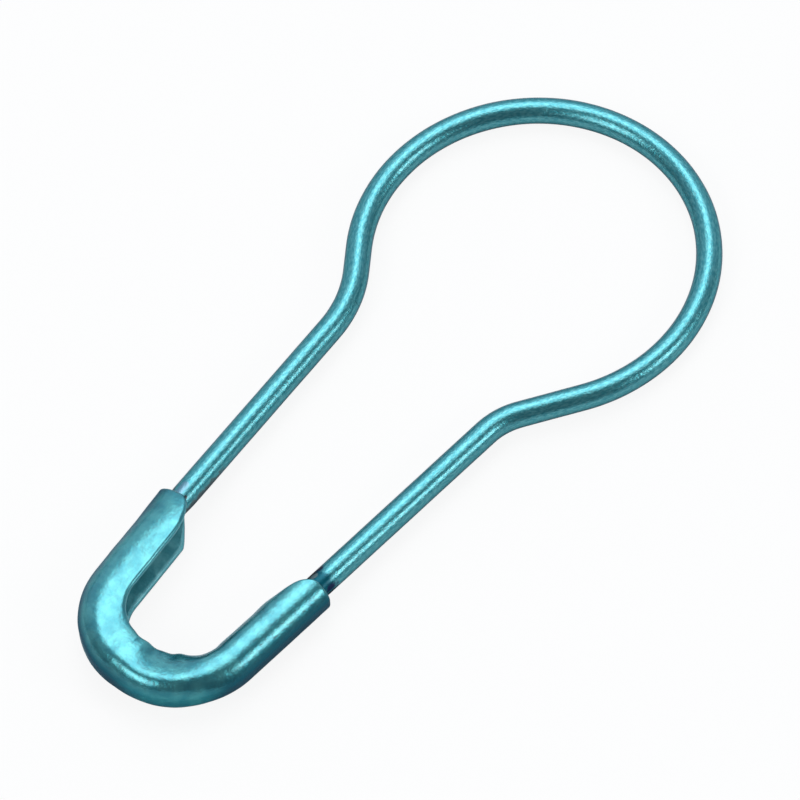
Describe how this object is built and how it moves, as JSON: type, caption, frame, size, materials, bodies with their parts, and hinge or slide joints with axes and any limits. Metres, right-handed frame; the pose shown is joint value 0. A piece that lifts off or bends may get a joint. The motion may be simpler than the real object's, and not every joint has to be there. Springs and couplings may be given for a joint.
{
  "type": "bulb safety pin",
  "caption": "Coilless safety pin of bent spring wire with a round bulb, a sharp pin leg and a folded metal cap that crimps one leg and catches the point.",
  "frame": {"origin": "middle of the pin's length and of the bulb's width, on the flat back of the cap", "axes": "+Y from the cap to the bulb's crown, +Z out of the pin's flat face, pin leg on the -X side"},
  "size_m": [0.01, 0.022, 0.0013],
  "materials": {
    "lacquered_wire": "satin metallic lacquer on spring steel wire",
    "lacquered_sheet": "satin metallic lacquer on folded sheet, slightly grained"
  },
  "bodies": {
    "pin_body": {"wire_bow": "lacquered_wire", "cap": "lacquered_sheet"},
    "pin_leg": {"pin_arm": "lacquered_wire"}
  },
  "joints": [
    {"name": "point_release", "type": "hinge", "parent": "pin_body", "child": "pin_leg", "pos_m": [-0.00266, 0.0007, 0.00065], "axis": [0.0719, -0.9561, 0.2841], "range_deg": [0, 300]}
  ]
}
